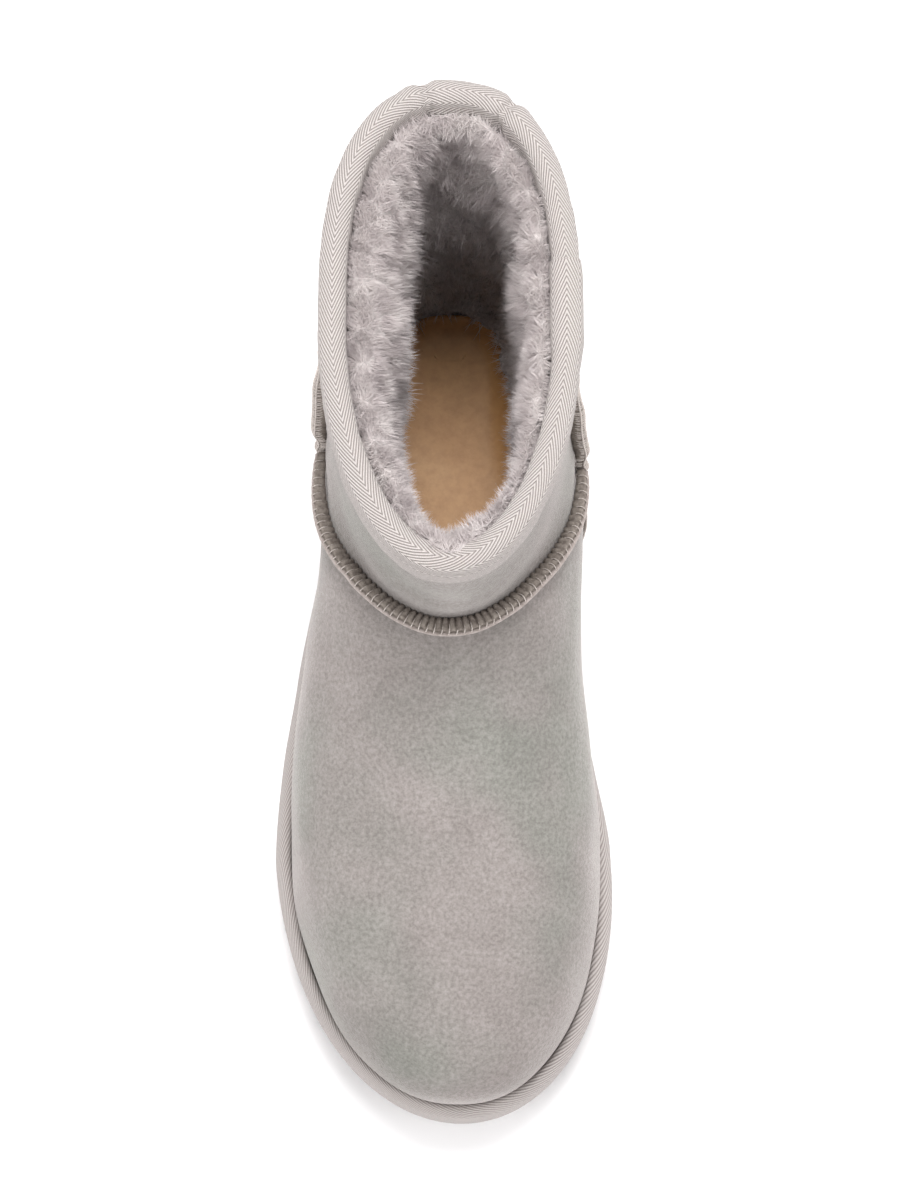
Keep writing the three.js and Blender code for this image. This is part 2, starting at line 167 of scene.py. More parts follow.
RINGS = np.array([
    (-128.7, 24.6, 128.7, 23.3, -55, 45.4, 5, 37.2, 92, 31.1, 1.0, 0.4, 2.05, 2.3, 1.0),
    (-131.4, 33, 132.0, 33, -53, 46.2, 5, 39.9, 92, 35.0, 0.75, 2.2, 2.1, 2.3, 0.8),
    (-130.4, 43, 134.0, 44, -47, 45.7, 8, 40.2, 92, 36.6, 0.7, 2.6, 2.1, 2.3, 0.5),
    (-123.5, 53, 134.0, 56, -35, 43.6, 15, 39.6, 90, 37.0, 0.6, 2.4, 2.1, 2.3, 0.2),
    (-108.5, 61.5, 132.6, 67, -12, 40.6, 30, 38.4, 88, 36.6, 0.5, 2.0, 2.1, 2.3, 0),
    (-86, 69, 130.8, 77, 12, 38.6, 50, 37.5, 86, 36.0, 0.4, 1.4, 2.05, 2.3, 0),
    (-59, 78, 129.6, 86, 36, 37.4, 60, 36.7, 84, 35.6, 0.3, 0.9, 2.0, 2.3, 0),
    (-32, 89, 129.8, 95, 50, 36.7, 66, 36.0, 82, 35.3, 0.2, 0.5, 2.0, 2.3, 0),
    (-8.5, 102, 130.8, 104, 60, 35.8, 70, 35.6, 80, 35.0, 0.1, 0.2, 2.0, 2.3, 0),
    (-5.5, 116, 132.4, 117, 64, 35.1, 70, 35.0, 78, 34.8, 0, 0, 2.0, 2.3, 0),
    (-4.5, 131, 135.3, 131, 66, 34.9, 71, 34.9, 78, 34.8, 0, 0, 2.0, 2.3, 0),
    (-3.5, 149, 139.8, 149, 68, 35.0, 72, 35.0, 78, 35.0, 0, 0, 2.0, 2.3, 0),
], dtype=float)
COLLAR = len(RINGS) - 1
RIM = RINGS[-1, 1]
WALL, SHAFT_WOOL, RIM_WALL = 11.0, 2.0, 5.0


def smooth(a, b, x):
    """0 below a, 1 above b and a soft step between"""
    t = np.clip((x - a) / (b - a), 0, 1)
    return t * t * (3 - 2 * t)


def through(xs, ys, x):
    """a smooth curve through a short table, level at both ends; columns may be arrays"""
    xs = [np.broadcast_to(np.asarray(v, float), np.shape(x)) for v in xs]
    ys = [np.broadcast_to(np.asarray(v, float), np.shape(x)) for v in ys]
    last = len(xs) - 1
    slopes = [np.zeros(np.shape(x))]
    for i in range(1, last):
        h0, h1 = xs[i] - xs[i - 1], xs[i + 1] - xs[i]
        a, b = (ys[i] - ys[i - 1]) / h0, (ys[i + 1] - ys[i]) / h1
        k0, k1 = 2 * h1 + h0, h1 + 2 * h0
        same = a * b > 0
        safe_a, safe_b = np.where(same, a, 1), np.where(same, b, 1)
        slopes.append(np.where(same, (k0 + k1) / (k0 / safe_a + k1 / safe_b), 0))
    slopes.append(np.zeros(np.shape(x)))
    out = np.array(ys[0], float)
    for i in range(last):
        h = xs[i + 1] - xs[i]
        t = np.clip((x - xs[i]) / h, 0, 1)
        t2, t3 = t * t, t * t * t
        piece = ((2 * t3 - 3 * t2 + 1) * ys[i] + (t3 - 2 * t2 + t) * h * slopes[i]
                 + (3 * t2 - 2 * t3) * ys[i + 1] + (t3 - t2) * h * slopes[i + 1])
        out = np.where(x >= xs[i], piece, out)
    return out


def spring(y):
    """lift of the sole's underside towards the toe"""
    return TOE_SPRING * np.maximum(0, (SPRING_FROM - y) / SPRING_RUN) ** 2


def sole_top(y):
    """height of the sole's top at its edge"""
    return SOLE_HIGH + HEEL_RISE * smooth(RISE_FROM, RISE_TO, y) + SPRING_ABOVE * spring(y)


def outline_shift(y):
    """how far the middle of the sole lies to the inner side"""
    front = BALL_SHIFT + (TOE_SHIFT - BALL_SHIFT) * (BALL_Y - y) / (BALL_Y - TOE_Y)
    return np.where(y < BALL_Y, front, through(OUTLINE[:, 0], OUTLINE[:, 2], y))


def outline_half(y):
    """half the sole's width"""
    ahead = np.clip((BALL_Y - y) / (BALL_Y - TOE_Y), 0, 1)
    behind = np.clip((y - SEAT_Y) / (HEEL_Y - SEAT_Y), 0, 1)
    toe = BALL_HALF * np.sqrt(np.maximum(0, 1 - ahead ** TOE_ROUND))
    heel = SEAT_HALF * np.maximum(0, 1 - behind ** HEEL_ROUND) ** (1 / HEEL_ROUND)
    side = through(OUTLINE[:, 0], OUTLINE[:, 1], y)
    return np.where(y < BALL_Y, toe, np.where(y > SEAT_Y, heel, side))


def outline(turn, inset=0.0):
    """the sole's edge, moved in; turn 0 is the toe, and the first half runs down the outer side"""
    def at(a):
        y = (TOE_Y + HEEL_Y) / 2 - (HEEL_Y - TOE_Y) / 2 * np.cos(a)
        side = np.where(np.sin(a) > 0, -1, 1)
        return np.stack([outline_shift(y) + side * outline_half(y), y], -1)
    turn = np.asarray(turn, float)
    p = at(turn)
    along = at(turn + 1e-4) - at(turn - 1e-4)
    along /= np.linalg.norm(along, axis=-1, keepdims=True)
    inset = np.asarray(inset, float)
    return p + np.stack([inset * along[..., 1], -inset * along[..., 0]], -1)


def ring_at(level):
    """every column of the ring table at a level, by Catmull-Rom"""
    v = np.clip(level, 0, COLLAR)
    i = np.minimum(np.floor(v).astype(int), COLLAR - 1)
    t = (v - i)[..., None]
    table = np.vstack([2 * RINGS[0] - RINGS[1], RINGS, 2 * RINGS[-1] - RINGS[-2]])
    p0, p1, p2, p3 = table[i], table[i + 1], table[i + 2], table[i + 3]
    r = 0.5 * (2 * p1 + (p2 - p0) * t + (2 * p0 - 5 * p1 + 4 * p2 - p3) * t ** 2
               + (3 * p1 - p0 - 3 * p2 + p3) * t ** 3)
    return {name: r[..., k] for k, name in enumerate(RING_COLUMNS)}


def last_form(level, turn):
    """a point of the upper's outer face"""
    level, turn = np.broadcast_arrays(np.asarray(level, float), np.asarray(turn, float))
    r = ring_at(level)
    share = (1 - np.cos(turn)) / 2
    y = r["fy"] + (r["by"] - r["fy"]) * share
    chord = RINGS[0, 1] + (RINGS[0, 3] - RINGS[0, 1]) * (y - RINGS[0, 0]) / (RINGS[0, 2] - RINGS[0, 0])
    z = (r["fz"] + (r["bz"] - r["fz"]) * share
         + r["bow"] * (sole_top(np.clip(y, -UPPER_REACH, UPPER_REACH)) + GAP - chord))
    front = np.clip((r["y1"] - y) / (r["y1"] - r["fy"]), 0, 1)
    back = np.clip((y - r["y3"]) / (r["by"] - r["y3"]), 0, 1)
    middle = through([r["y1"], r["y2"], r["y3"]], [r["w1"], r["w2"], r["w3"]], y)
    half = np.where(y < r["y1"], r["w1"] * np.maximum(0, 1 - front ** r["pf"]) ** (1 / r["pf"]),
                    np.where(y > r["y3"],
                             r["w3"] * np.maximum(0, 1 - back ** r["pb"]) ** (1 / r["pb"]), middle))
    side = np.where(np.sin(turn) > 0, -1, 1)
    x = (r["shift"] * outline_shift(y) + r["swing"] * (1 - smooth(0, WAIST_RUN, np.abs(y - WAIST_Y)))
         + side * half)
    return np.stack([x, y, z], -1)


def last_normal(level, turn):
    """outward normal, laid level at the sole and the collar"""
    near = 1e-3
    up = (last_form(np.minimum(COLLAR, level + near), turn)
          - last_form(np.maximum(0, level - near), turn))
    along = last_form(level, turn + near) - last_form(level, turn - near)
    n = np.cross(up, along)
    n /= np.linalg.norm(n, axis=-1, keepdims=True)
    n[..., 2] *= smooth(0, 1.2, level) * (1 - smooth(9.4, 10.4, level))
    return n / np.linalg.norm(n, axis=-1, keepdims=True)


def wall_at(level):
    """how thick skin and wool are together: more in the shaft, and little under the tape"""
    wool = WALL + SHAFT_WOOL * smooth(5.5, 8, level)
    return wool + (RIM_WALL - wool) * smooth(10, 10.5, level)


def off_last(level, turn, distance):
    """a point that far outside the last"""
    level, turn = np.broadcast_arrays(np.asarray(level, float), np.asarray(turn, float))
    distance = np.broadcast_to(np.asarray(distance, float), level.shape)
    return last_form(level, turn) + distance[..., None] * last_normal(level, turn)


def level_at_height(z):
    """the level at a height near the collar"""
    return COLLAR - 1 + (z - RINGS[-2, 1]) / (RIM - RINGS[-2, 1])


def turn_at_y(level, y):
    """the turn, on the outer side, where a level reaches y"""
    r = ring_at(np.asarray(level, float))
    return np.arccos(np.clip(1 - 2 * (y - r["fy"]) / (r["by"] - r["fy"]), -1, 1))


def waves(p, lengths, seed):
    """smooth unevenness between about -1 and 1: a few crossed waves of the given lengths in mm"""
    rng = np.random.default_rng(seed)
    total = np.zeros(p.shape[:-1])
    for length in lengths:
        for _ in range(5):
            direction = rng.normal(size=3)
            direction *= 2 * math.pi / length / np.linalg.norm(direction)
            total += np.sin(p @ direction + rng.uniform(0, 2 * math.pi))
    return total / (2.2 * len(lengths) ** 0.5)


def to_metres(points):
    """places on the last, in millimetres, as places in the frame"""
    return (points + FRAME_SHIFT) / 1000


def skin(name, grid, wrap_rows=False, caps=False, outward=True, middle=0):
    """a mesh over rows of closed loops, with a UV map in metres: U round the loop, V from the middle row"""
    rows, cols = grid.shape[:2]
    joins = rows if wrap_rows else rows - 1
    k, i = np.meshgrid(np.arange(joins), np.arange(cols), indexing="ij")
    a, b = k * cols + i, k * cols + (i + 1) % cols
    c, d = ((k + 1) % rows) * cols + (i + 1) % cols, ((k + 1) % rows) * cols + i
    quads = np.stack([a, b, c, d] if outward else [a, d, c, b], -1).reshape(-1, 4)
    faces = [tuple(f) for f in quads.tolist()]
    if caps:
        for base, turned in ((0, outward), ((rows - 1) * cols, not outward)):
            for j in range(cols // 2):
                face = [base + j, base + j + 1, base + (cols - j - 1) % cols, base + (cols - j) % cols]
                face = list(dict.fromkeys(face))
                faces.append(tuple(reversed(face)) if turned else tuple(face))
    mesh = bpy.data.meshes.new(name)
    mesh.from_pydata(to_metres(grid).reshape(-1, 3).tolist(), [], faces)
    around = np.cumsum(np.linalg.norm(np.diff(grid, axis=1, append=grid[:, :1]), axis=-1), axis=1)
    around = np.concatenate([np.zeros((rows, 1)), around], axis=1).mean(axis=0)
    across = np.linalg.norm(np.diff(grid, axis=0, append=grid[:1]), axis=-1).mean(axis=1)
    across = np.concatenate([[0], np.cumsum(across)])
    across -= across[middle]
    layer = mesh.uv_layers.new(name="along")
    u0, u1, v0, v1 = around[i], around[i + 1], across[k], across[k + 1]
    corners = np.stack([u0, v0, u1, v0, u1, v1, u0, v1] if outward
                       else [u0, v0, u0, v1, u1, v1, u1, v0], -1).reshape(-1)
    every = np.zeros(len(mesh.loops) * 2)
    every[:corners.size] = corners / 1000
    layer.data.foreach_set("uv", every)
    mesh.polygons.foreach_set("use_smooth", [True] * len(mesh.polygons))
    mesh.update()
    return in_scene(name, mesh)


def rings_of(count):
    """equal turns all the way round"""
    return 2 * math.pi * np.arange(count) / count


# ---------------------------------------------------------------------------
# Upper, outside. Twin-faced sheepskin: the flesh side is buffed to a soft suede and dyed pale grey.
# It is cut as a vamp, a front and a back panel of the shaft, and stretched over the last, so it lies
# full and round with a few shallow folds where the instep bends and a dent or two in the shaft.
# ---------------------------------------------------------------------------

VAMP_FRONT, VAMP_DROP, VAMP_END = 8.3, 2.2, 1.77
SEAM_LEVELS = (0, 6.1, COLLAR)
SEAM_YS = {1: (47, 54, 62), -1: (42, 48, 54)}
UNEVEN, VAMP_PINCH, SIDE_PINCH, PINCH_REACH, LEVEL_HIGH = 0.28, 0.8, 0.7, 5.0, 13.0


def vamp_level(turn):
    """the level of the seam between vamp and shaft, highest over the instep"""
    return VAMP_FRONT - VAMP_DROP * (np.abs(turn) / VAMP_END) ** 2


def fold(p, a, b, width, depth):
    """a soft trough from a to b: full depth in the middle, nothing at the ends"""
    a, b = np.array(a, float), np.array(b, float)
    along = b - a
    t = np.clip(((p - a) @ along) / (along @ along), 0, 1)
    gone = np.linalg.norm(p - (a + t[..., None] * along), axis=-1)
    return -depth * np.exp(-(gone / width) ** 2) * np.sin(np.pi * np.clip(t, 0.02, 0.98)) ** 0.7


SUEDE_FOLDS = (
    # start, end, width, depth: across the instep, the sides of the ankle, the heel, the shaft
    ((-34, -24, 78), (30, -30, 82), 7.0, 0.7),
    ((-26, -58, 70), (34, -46, 68), 9.0, 0.5),
    ((-42, 16, 64), (-40, 44, 42), 6.5, 1.3),
    ((42, 14, 62), (40, 42, 38), 6.5, 1.3),
    ((-36, 82, 90), (-28, 122, 74), 7.0, 1.8),
    ((36, 80, 88), (28, 122, 78), 7.0, 1.8),
    ((-38, 74, 64), (-30, 116, 56), 8.0, 1.2),
    ((37, 72, 60), (30, 116, 54), 8.0, 1.2),
    ((-22, 8, 126), (10, -6, 112), 8.0, 1.2),
    ((24, 12, 120), (2, -5, 134), 7.0, 0.7),
    ((-30, 98, 114), (12, 132, 106), 8.0, 1.4),
)


def suede_lift(p, level, turn):
    """how far the suede stands off the last: folds, plumpness and the pinch beside each seam"""
    lift = UNEVEN * waves(p, (46, 27), 3)
    for a, b, width, depth in SUEDE_FOLDS:
        lift = lift + fold(p, a, b, width, depth)
    signed = np.where(turn > math.pi, turn - 2 * math.pi, turn)
    gone = np.abs(level - vamp_level(signed)) * LEVEL_HIGH
    near = (np.abs(signed) < VAMP_END) * np.exp(-(gone / PINCH_REACH) ** 2)
    lift = lift - VAMP_PINCH * near
    for side, ys in SEAM_YS.items():
        gone = p[..., 1] - through(SEAM_LEVELS, ys, level)
        lift = lift - SIDE_PINCH * np.exp(-(gone / PINCH_REACH) ** 2) * (signed * side > 0)
    edge = smooth(0.0, 1.0, level) * (1 - smooth(10.2, 10.7, level))
    return lift * edge


HIDE, HIDE_GAIN = 2.4, 1.2
FACE_ROWS, BACK_ROWS, UPPER_STEPS = 176, 40, 360
around = rings_of(UPPER_STEPS)
level_grid, turn_grid = np.meshgrid(np.linspace(0, COLLAR, FACE_ROWS), around, indexing="ij")
base = last_form(level_grid, turn_grid)
face_grid = base + suede_lift(base, level_grid, turn_grid)[..., None] * last_normal(level_grid, turn_grid)
level_grid, turn_grid = np.meshgrid(np.linspace(COLLAR, 0, BACK_ROWS), around, indexing="ij")
back_grid = off_last(level_grid, turn_grid, -HIDE - HIDE_GAIN * smooth(0, 1, level_grid))
back_grid[-1, :, 2] = sole_top(back_grid[-1, :, 1]) + GAP
hide = skin("suede_upper", np.concatenate([face_grid, back_grid]), wrap_rows=True)

# Suede: the nap scatters light evenly with no gloss, lifts a pale fringe at grazing angles,
# and shows cloudy patches where it was brushed different ways, over a fine peppery grain.
suede, tree = new_material("buffed_suede")
coords = add_node(tree, "ShaderNodeTexCoord").outputs["Object"]
clouds = add_node(tree, "ShaderNodeTexNoise", Vector=coords, Scale=48.0, Detail=4.0, Roughness=0.6,
                  Distortion=0.6)
tint = add_node(tree, "ShaderNodeTexNoise", Vector=coords, Scale=22.0, Detail=2.0)
nap = add_node(tree, "ShaderNodeTexNoise", Vector=coords, Scale=900.0, Detail=3.0, Roughness=0.7)
fibre = add_node(tree, "ShaderNodeTexNoise", Vector=coords, Scale=2600.0, Detail=2.0, Roughness=0.8)
body_colour = add_node(tree, "ShaderNodeValToRGB", Fac=clouds, settings={
    "stops": ((0.30, "#85807c"), (0.5, "#918c88"), (0.72, "#9d9894"))})
tint_colour = add_node(tree, "ShaderNodeValToRGB", Fac=tint, settings={
    "stops": ((0.38, "#8a8e86"), (0.5, "#938f8b"), (0.62, "#9c9391"))})
patched = add_node(tree, "ShaderNodeMix", {"data_type": "RGBA"}, i0=0.45, i6=body_colour, i7=tint_colour)
speck = add_node(tree, "ShaderNodeValToRGB", Fac=nap, settings={
    "stops": ((0.32, "#aaa6a3"), (0.68, "#ffffff"))})
grained = add_node(tree, "ShaderNodeMix", {"data_type": "RGBA", "blend_type": "MULTIPLY"}, i0=0.6,
                   i6=patched.outputs[2], i7=speck)
rough_nap = add_node(tree, "ShaderNodeMath", {"operation": "ADD"}, i0=nap, i1=fibre)
finish(tree, grained.outputs[2], rough_nap, 0.55, 0.0003, Roughness=0.95, Specular_IOR_Level=0.2,
       Sheen_Weight=0.6, Sheen_Roughness=0.36, Sheen_Tint=srgb("#f2ecea"))
hide.data.materials.append(suede)
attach(hide, "root")

# ---------------------------------------------------------------------------
# Upper, inside. The wool side of the same skin, clipped to about 9 mm: a cushiony face with the fibres
# standing in little locks that lean together, thinner where the collar tape squeezes it.
# ---------------------------------------------------------------------------

WOOL = np.array([
    # level, depth, and share of the round table below: from under the tape the wool swells up and in
    # like a pillow, then hangs down the shaft to the footbed
    (10.56, 5.2, 0), (10.62, 6.5, 0), (10.74, 7.3, 0), (10.82, 8.2, 0.13), (10.81, 8.7, 0.3),
    (10.71, 8.9, 0.48), (10.5, 9.0, 0.65), (10.2, 9.0, 0.8), (9.9, 9.0, 0.9), (9.4, 9.0, 0.97),
    (8.6, 9.0, 1), (7.5, 9.2, 1), (6.0, 9.6, 0.9), (4.0, 10.6, 0.75), (2.4, 11.6, 0.5),
    (1.2, 11.6, 0.35), (0.7, 12.2, 0.25), (0.45, 13.4, 0.2),
])
WOOL_ROUND = np.array([
    # turn from the toe, how much the share adds: fullest down the outer side
    (-3.14, -0.5), (-2.7, 0.0), (-2.25, 3.0), (-1.85, 3.6), (-1.45, 3.0), (-1.03, 1.2), (-0.6, 0.0),
    (-0.2, 1.2), (0.3, 2.0), (0.7, 3.6), (1.0, 5.4), (1.4, 8.2), (1.7, 10.2), (2.0, 10.6),
    (2.45, 7.5), (2.83, 2.0), (3.14, -0.5),
])
WOOL_TUFTS = (
    # centre, radius, how far it hangs in
    ((-6, 119, 52), 9.0, 4.5), ((10, 119, 70), 8.0, 2.5), ((-13, 113, 80), 9.0, 2.5),
    ((4, 122, 96), 8.0, 2.5), ((-17, 106, 38), 9.0, 4.5), ((18, 105, 38), 9.0, 4.5),
    ((-20, 60, 44), 10.0, 2.5), ((22, 84, 50), 9.0, 3.0), ((4, 8, 141), 9.0, 1.5),
)
WOOL_WAVES = (
    # height, wavelengths, seed: pillows, locks and curls
    (0.9, (34, 24), 5), (1.0, (13, 9), 8), (0.45, (5, 3.6), 9),
)
# over the front of the collar a lock spills out across the tape: half its turn, its middle row, its rows,
# how far it comes out and how far it stands up
SPILL_TURN, SPILL_ROW, SPILL_ROWS, SPILL_OUT, SPILL_UP = 0.38, 3.2, 1.3, 4.4, 5.0


def wool_face(t, turn):
    """the wool's face: t runs down the rows of the table"""
    t, turn = np.broadcast_arrays(np.asarray(t, float), np.asarray(turn, float))
    rows = np.arange(len(WOOL))
    level, depth, share = (np.interp(t, rows, WOOL[:, k]) for k in range(3))
    signed = np.where(turn > math.pi, turn - 2 * math.pi, turn)
    depth = depth + share * through(WOOL_ROUND[:, 0], WOOL_ROUND[:, 1], signed)
    spill = np.exp(-(signed / SPILL_TURN) ** 2) * np.exp(-((t - SPILL_ROW) / SPILL_ROWS) ** 2)
    n = last_normal(level, turn)
    bare = last_form(level, turn) - (depth - SPILL_OUT * spill)[..., None] * n
    bare[..., 2] += SPILL_UP * spill
    uneven = sum(size * waves(bare, lengths, seed) for size, lengths, seed in WOOL_WAVES)
    for centre, radius, size in WOOL_TUFTS:
        gone = np.linalg.norm(bare - np.array(centre, float), axis=-1)
        uneven = uneven + size * np.exp(-(gone / radius) ** 2)
    return bare - (uneven * smooth(1.5, 4.0, t))[..., None] * n


LINING_STEPS, LINING_BACK, LINING_SUNK = 270, 26, 1.6
lining_turns = rings_of(LINING_STEPS)
wool_rows = np.concatenate([np.linspace(0, 8, 45), np.linspace(8, len(WOOL) - 1, 106)[1:]])
row_grid, turn_grid = np.meshgrid(wool_rows, lining_turns, indexing="ij")
back_levels = np.linspace(WOOL[-1, 0], WOOL[0, 0], LINING_BACK)
level_grid, back_turns = np.meshgrid(back_levels, lining_turns, indexing="ij")
wool_back = off_last(level_grid, back_turns, -HIDE - LINING_SUNK)
lining = skin("fleece_lining", np.concatenate([wool_face(row_grid, turn_grid), wool_back]),
              wrap_rows=True, outward=False)

# Wool: soft and matt with a faint sheen, so that light wraps round each lock, and the hollows between
# the locks stay darker than the clipped tips.
wool, tree = new_material("clipped_wool")
coords = add_node(tree, "ShaderNodeTexCoord").outputs["Object"]
curls = add_node(tree, "ShaderNodeTexNoise", Vector=coords, Scale=160.0, Detail=5.0, Roughness=0.65,
                 Distortion=1.2)
tufts = add_node(tree, "ShaderNodeTexNoise", Vector=coords, Scale=700.0, Detail=4.0, Roughness=0.7,
                 Distortion=2.0)
wool_colour = add_node(tree, "ShaderNodeValToRGB", Fac=curls, settings={
    "stops": ((0.3, "#b0a6a4"), (0.5, "#c2b9b7"), (0.7, "#d2cac8"))})
height = add_node(tree, "ShaderNodeMath", {"operation": "ADD"}, i0=curls, i1=tufts)
finish(tree, wool_colour, height, 0.9, 0.0012, Roughness=1.0, Specular_IOR_Level=0.15, Sheen_Weight=0.4,
       Sheen_Roughness=0.6)
lining.data.materials.append(wool)
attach(lining, "root")


def new_growth(name, inputs):
    """a Geometry Nodes tree with its named inputs, and the sockets that give them"""
    made = bpy.data.node_groups.new(name, "GeometryNodeTree")
    face = made.interface
    face.new_socket("Geometry", in_out="INPUT", socket_type="NodeSocketGeometry")
    for label, kind in inputs:
        face.new_socket(label, in_out="INPUT", socket_type="NodeSocket" + kind)
    face.new_socket("Geometry", in_out="OUTPUT", socket_type="NodeSocketGeometry")
    return made, add_node(made, "NodeGroupInput").outputs


# The fibres themselves: fine tapered spikes grown from the wool's face, leaning to the middle
# of the lock they belong to.
fibre_tree, given = new_growth("wool_fibres", (
    ("Density", "Float"), ("Length", "Float"), ("Thickness", "Float"), ("Lock size", "Float"),
    ("Seed", "Int"), ("Material", "Material")))
spread = add_node(fibre_tree, "GeometryNodeDistributePointsOnFaces", Mesh=given["Geometry"],
                  Density=given["Density"], Seed=given["Seed"])
place = add_node(fibre_tree, "GeometryNodeInputPosition")
per_lock = add_node(fibre_tree, "ShaderNodeMath", {"operation": "DIVIDE"}, i0=1.0, i1=given["Lock size"])
lock = add_node(fibre_tree, "ShaderNodeTexVoronoi", Vector=place, Scale=per_lock, Randomness=1.0)
to_lock = add_node(fibre_tree, "ShaderNodeVectorMath", {"operation": "SUBTRACT"},
                   i0=lock.outputs["Position"], i1=place)
leaning = add_node(fibre_tree, "ShaderNodeMath", {"operation": "MULTIPLY"}, i0=per_lock, i1=1.8)
pull = add_node(fibre_tree, "ShaderNodeVectorMath", {"operation": "SCALE"}, i0=to_lock, Scale=leaning)
stray = add_node(fibre_tree, "FunctionNodeRandomValue", {"data_type": "FLOAT_VECTOR"},
                 i0=(-1.1, -1.1, -1.1), i1=(1.1, 1.1, 1.1))
lean = add_node(fibre_tree, "ShaderNodeVectorMath", {"operation": "ADD"}, i0=pull, i1=stray)
sweep = add_node(fibre_tree, "ShaderNodeVectorMath", {"operation": "ADD"}, i0=spread.outputs["Normal"],
                 i1=lean)
turned = add_node(fibre_tree, "FunctionNodeAlignRotationToVector", {"axis": "Z"}, Vector=sweep)
spike = add_node(fibre_tree, "GeometryNodeMeshCone", {"fill_type": "NGON"}, Vertices=3, Side_Segments=1,
                 Radius_Top=0.0, Radius_Bottom=given["Thickness"], Depth=given["Length"])
vary = add_node(fibre_tree, "FunctionNodeRandomValue", {"data_type": "FLOAT"}, i2=0.45, i3=1.15)
planted = add_node(fibre_tree, "GeometryNodeInstanceOnPoints", Points=spread.outputs["Points"],
                   Instance=spike, Rotation=turned, Scale=vary.outputs[1])
realized = add_node(fibre_tree, "GeometryNodeRealizeInstances", Geometry=planted)
coloured = add_node(fibre_tree, "GeometryNodeSetMaterial", Geometry=realized, Material=given["Material"])
add_node(fibre_tree, "NodeGroupOutput", Geometry=coloured)


def grown(name, carrier, tree_used, values):
    """the carrier's Geometry Nodes result as a plain mesh object of its own"""
    modifier = carrier.modifiers.new("grow", "NODES")
    modifier.node_group = tree_used
    for item in tree_used.interface.items_tree:
        if item.item_type == "SOCKET" and item.in_out == "INPUT" and item.name in values:
            modifier[item.identifier] = values[item.name]
    bpy.context.view_layer.update()
    evaluated = carrier.evaluated_get(bpy.context.evaluated_depsgraph_get())
    mesh = bpy.data.meshes.new_from_object(evaluated)
    carrier.modifiers.remove(modifier)
    mesh.name = name
    return in_scene(name, mesh)


# Fibre: paler than the wool behind it and a little smoother, so that single hairs catch the light.
fibre_skin, tree = new_material("wool_fibre")
coords = add_node(tree, "ShaderNodeTexCoord").outputs["Object"]
shade = add_node(tree, "ShaderNodeTexNoise", Vector=coords, Scale=130.0, Detail=3.0)
strand_colour = add_node(tree, "ShaderNodeValToRGB", Fac=shade, settings={
    "stops": ((0.3, "#bbb1b1"), (0.5, "#cfc6c5"), (0.7, "#dfd8d6"))})
shader = add_node(tree, "ShaderNodeBsdfPrincipled", Base_Color=strand_colour, Roughness=0.8,
                  Specular_IOR_Level=0.2, Sheen_Weight=0.3)
add_node(tree, "ShaderNodeOutputMaterial", Surface=shader)

LOCK = 6.5
WOOL_ZONES = (
    # name, first and last row of the wool table, where y starts, fibres, length and thickness
    ("fleece_fibres_collar", 1.6, 7.5, -200, 47500, 4.2, 0.10),
    ("fleece_fibres_ankle", 7.5, 11.0, -200, 47500, 5.0, 0.12),
    ("fleece_fibres_heel", 11.0, 16.6, 15, 32000, 6.0, 0.15),
)
for name, first, last, from_y, count, length, thick in WOOL_ZONES:
    zone_turns = rings_of(200)
    row_grid, turn_grid = np.meshgrid(np.linspace(first, last, 60), zone_turns, indexing="ij")
    zone = skin("bed", wool_face(row_grid, turn_grid), outward=False)
    shape = bmesh.new()
    shape.from_mesh(zone.data)
    beyond = [v for v in shape.verts if v.co.y * 1000 < from_y]
    bmesh.ops.delete(shape, geom=beyond, context="VERTS")
    shape.to_mesh(zone.data)
    shape.free()
    area = sum(p.area for p in zone.data.polygons)
    fibres = grown(name, zone, fibre_tree, {
        "Density": count / area, "Length": length / 1000, "Thickness": thick / 1000,
        "Lock size": LOCK / 1000, "Seed": 4, "Material": fibre_skin})
    bpy.data.objects.remove(zone)
    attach(fibres, "root")
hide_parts("upper")

# ---------------------------------------------------------------------------
# Raised seams. Two cut edges of sheepskin are held together standing up and whipped over with a
# thick overlock thread, which leaves a proud ridge: two leather edges with a groove between them,
# and a thread laid over it every one or two millimetres.
# ---------------------------------------------------------------------------

SEAM_GAP, SEAM_SUNK, SEAM_WIDE, SEAM_HIGH = 0.55, 0.6, 3.0, 3.8
SEAM_FOOT, SEAM_CLEAR, WRAP_SUNK, WRAP_RISE = 0.62, 0.4, 2.0, 3.6
STITCH_ROWS, WOBBLE_ROWS, WOBBLE = 6, 12, 0.14
TAPE_DROP = 9.0
RIDGE_SECTION = (
    # across and up, in shares of the seam's width and height
    (-0.46, -0.10), (-0.5, 0.25), (-0.5, 0.6), (-0.44, 0.84), (-0.30, 0.95), (-0.14, 0.93),
    (0.0, 0.78), (0.14, 0.93), (0.30, 0.95), (0.44, 0.84), (0.5, 0.6), (0.5, 0.25), (0.46, -0.10),
)


def seam_frames(path, count):
    """places along a seam, with the way along it, across it and away from the leather"""
    t = np.linspace(0, 1, count)
    level, turn = path(t)
    foot = last_form(level, turn)
    lo, hi = path(np.clip(t - 0.004, 0, 1)), path(np.clip(t + 0.004, 0, 1))
    along = last_form(*hi) - last_form(*lo)
    along /= np.linalg.norm(along, axis=-1, keepdims=True)
    across = np.cross(along, last_normal(level, turn))
    across /= np.linalg.norm(across, axis=-1, keepdims=True)
    return foot, along, across, np.cross(across, along)


